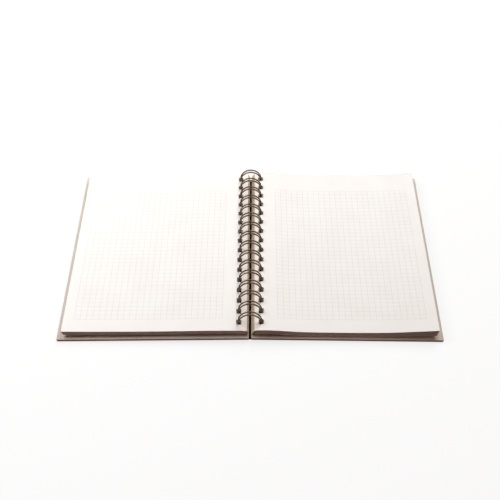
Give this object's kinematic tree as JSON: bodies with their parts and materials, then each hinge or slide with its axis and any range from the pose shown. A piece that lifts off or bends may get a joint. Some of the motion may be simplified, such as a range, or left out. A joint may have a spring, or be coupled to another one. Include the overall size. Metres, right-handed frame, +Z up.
{
  "type": "spiral notebook",
  "caption": "Hard-cover notebook lying open near its middle, bound with dark bronze twin-loop wire. The covers and the piles of sheets turn about the wire.",
  "frame": {"origin": "bottom centre of the open notebook, on the table under the middle of the spine", "axes": "+X across the spread to the back cover's fore edge, +Y along the spine from tail to head, +Z up"},
  "size_m": [0.3102, 0.216, 0.0199],
  "materials": {
    "cover_board": "matte, sand grey",
    "sheets": "uncoated, with a faint printed square grid",
    "bronze_wire": "satin, dark antique bronze"
  },
  "bodies": {
    "binding": {"binding_wire": "bronze_wire"},
    "front_board": {"front_cover": "cover_board"},
    "front_sheets": {"front_leaves": "sheets"},
    "back_board": {"back_cover": "cover_board"},
    "back_sheets": {"back_leaves": "sheets"}
  },
  "joints": [
    {"name": "front_cover_turn", "type": "hinge", "parent": "binding", "child": "front_board", "pos_m": [0, 0, 0.01], "axis": [0, 1, 0], "range_deg": [0, 180]},
    {"name": "front_sheets_turn", "type": "hinge", "parent": "front_board", "child": "front_sheets", "pos_m": [0, 0, 0.01], "axis": [0, 1, 0], "range_deg": [0, 180]},
    {"name": "back_cover_turn", "type": "hinge", "parent": "binding", "child": "back_board", "pos_m": [0, 0, 0.01], "axis": [0, 1, 0], "range_deg": [-180, 0]},
    {"name": "back_sheets_turn", "type": "hinge", "parent": "back_board", "child": "back_sheets", "pos_m": [0, 0, 0.01], "axis": [0, 1, 0], "range_deg": [-180, 0]}
  ]
}
